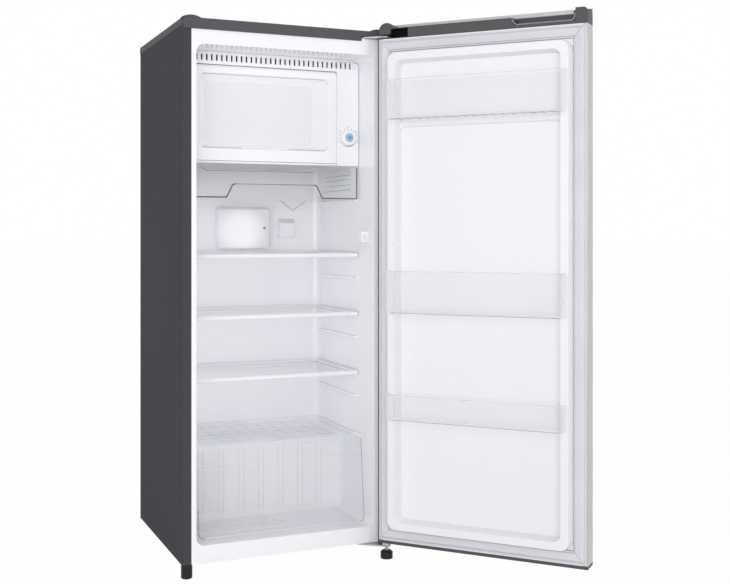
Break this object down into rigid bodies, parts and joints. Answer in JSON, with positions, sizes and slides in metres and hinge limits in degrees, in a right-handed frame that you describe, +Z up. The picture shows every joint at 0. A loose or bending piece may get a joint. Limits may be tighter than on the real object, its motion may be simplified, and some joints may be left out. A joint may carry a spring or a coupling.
{
  "type": "refrigerator",
  "caption": "Free-standing single-door refrigerator standing open, with an inner freezer box, sliding shelves, crisper and door bins.",
  "frame": {"origin": "on the floor, where the door's hinge axis meets the sole of the right front foot", "axes": "+X to the right of someone facing the refrigerator, +Y into it, +Z up along the hinge axis; the door is stored open"},
  "size_m": [0.8821, 0.9354, 1.3488],
  "materials": {
    "side_paint": "satin grey paint",
    "door_paint": "fine silver paint",
    "rear_paint": "plain grey coated sheet",
    "cap_plastic": "satin grey moulding",
    "white_moulding": "smooth white moulding",
    "foam": "rigid foam",
    "clear_moulding": "clear moulding",
    "clear_pane": "polished pane",
    "seal_rubber": "soft pale grey",
    "black_rubber": "matt black",
    "black_plastic": "matt black",
    "plated_steel": "zinc plated",
    "cooler_sheet": "mill finish",
    "black_paint": "gloss black paint",
    "copper": "bare copper",
    "lamp_glass": "clear bulb",
    "lamp_cover": "milky moulding",
    "blue_plastic": "sky blue moulding"
  },
  "bodies": {
    "cabinet": {"left_side_panel": "side_paint", "right_side_panel": "side_paint", "roof_panel": "rear_paint", "back_panel": "rear_paint", "bottom_panel": "rear_paint", "compressor_base": "rear_paint", "cabinet_insulation": "foam", "inner_liner": "white_moulding", "top_cover": "cap_plastic", "top_hinge_bracket": "plated_steel", "bottom_hinge_bracket": "plated_steel", "hinge_screws": "plated_steel", "rear_feet": "black_plastic", "freezer_front_frame": "white_moulding", "evaporator": "cooler_sheet", "evaporator_hangers": "white_moulding", "thermostat_body": "black_plastic", "lamp_cover": "lamp_cover", "lamp_holder": "white_moulding", "lamp_bulb": "lamp_glass", "wedge_cover": "white_moulding", "lamp_switch_body": "white_moulding", "compressor": "black_paint", "compressor_grommets": "black_rubber", "relay_cover": "black_plastic", "drip_tray": "black_plastic", "condenser_tube": "black_paint", "condenser_wires": "black_paint", "condenser_brackets": "black_plastic", "discharge_pipe": "copper", "suction_pipe": "copper", "filter_drier": "copper"},
    "door": {"door_skin": "door_paint", "door_liner": "white_moulding", "door_insulation": "foam", "door_gasket": "seal_rubber", "door_top_cap": "cap_plastic", "hinge_pocket_insert": "black_plastic", "door_bottom_cap": "cap_plastic", "door_hinge_bushes": "black_plastic"},
    "upper_bin": {"upper_door_bin": "clear_moulding"},
    "middle_bin": {"middle_door_bin": "clear_moulding"},
    "lower_bin": {"lower_door_bin": "clear_moulding"},
    "flap": {"freezer_flap": "white_moulding", "freezer_flap_back": "white_moulding"},
    "tray": {"chill_tray": "clear_moulding"},
    "crisper": {"crisper_drawer": "clear_moulding"},
    "crisper_lid": {"crisper_cover": "clear_pane"},
    "shelf_1": {"shelf_frame_1": "white_moulding", "shelf_pane_1": "clear_pane"},
    "shelf_2": {"shelf_frame_2": "white_moulding", "shelf_pane_2": "clear_pane"},
    "shelf_3": {"shelf_frame_3": "white_moulding", "shelf_pane_3": "clear_pane"},
    "dial": {"thermostat_knob": "white_moulding"},
    "button": {"defrost_button": "blue_plastic"},
    "switch_plunger": {"lamp_switch_plunger": "white_moulding"},
    "foot_right": {"right_foot": "black_plastic", "right_foot_stud": "plated_steel"},
    "foot_left": {"left_foot": "black_plastic"}
  },
  "joints": [
    {"name": "door_swing", "type": "hinge", "parent": "cabinet", "child": "door", "pos_m": [0, 0, 0], "axis": [0, 0, 1], "range_deg": [-131.4, 4]},
    {"name": "upper_bin_lift", "type": "slide", "parent": "door", "child": "upper_bin", "axis": [0, 0, 1], "range_m": [0, 0.02]},
    {"name": "middle_bin_lift", "type": "slide", "parent": "door", "child": "middle_bin", "axis": [0, 0, 1], "range_m": [0, 0.02]},
    {"name": "lower_bin_lift", "type": "slide", "parent": "door", "child": "lower_bin", "axis": [0, 0, 1], "range_m": [0, 0.02]},
    {"name": "flap_swing", "type": "hinge", "parent": "cabinet", "child": "flap", "pos_m": [-0.4735, 0.1325, 1.2292], "axis": [-1, 0, 0], "range_deg": [0, 90]},
    {"name": "tray_slide", "type": "slide", "parent": "cabinet", "child": "tray", "axis": [0, -1, 0], "range_m": [0, 0.25]},
    {"name": "shelf_1_slide", "type": "slide", "parent": "cabinet", "child": "shelf_1", "axis": [0, -1, 0], "range_m": [0, 0.25]},
    {"name": "shelf_2_slide", "type": "slide", "parent": "cabinet", "child": "shelf_2", "axis": [0, -1, 0], "range_m": [0, 0.25]},
    {"name": "shelf_3_slide", "type": "slide", "parent": "cabinet", "child": "shelf_3", "axis": [0, -1, 0], "range_m": [0, 0.25]},
    {"name": "crisper_lid_slide", "type": "slide", "parent": "cabinet", "child": "crisper_lid", "axis": [0, -1, 0], "range_m": [0, 0.25]},
    {"name": "crisper_slide", "type": "slide", "parent": "cabinet", "child": "crisper", "axis": [0, -1, 0], "range_m": [0, 0.17]},
    {"name": "dial_turn", "type": "hinge", "parent": "cabinet", "child": "dial", "pos_m": [-0.0535, 0.1265, 1.0687], "axis": [0, 1, 0], "range_deg": [0, 300]},
    {"name": "button_press", "type": "slide", "parent": "dial", "child": "button", "axis": [0, 1, 0], "range_m": [0, 0.004], "stiffness_N_per_m": 400},
    {"name": "switch_press", "type": "slide", "parent": "cabinet", "child": "switch_plunger", "axis": [0, 1, 0], "range_m": [-0.0002, 0.006]},
    {"name": "right_foot_turn", "type": "hinge", "parent": "cabinet", "child": "foot_right", "pos_m": [0, 0, 0], "axis": [0, 0, 1], "range_deg": [-720, 720]},
    {"name": "left_foot_turn", "type": "hinge", "parent": "cabinet", "child": "foot_left", "pos_m": [-0.5034, 0.0435, 0], "axis": [0, 0, 1], "range_deg": [-720, 720]}
  ],
  "couplings": [
    {"joint": "switch_press", "follows": "door_swing", "m_per_rad": -0.002616}
  ]
}
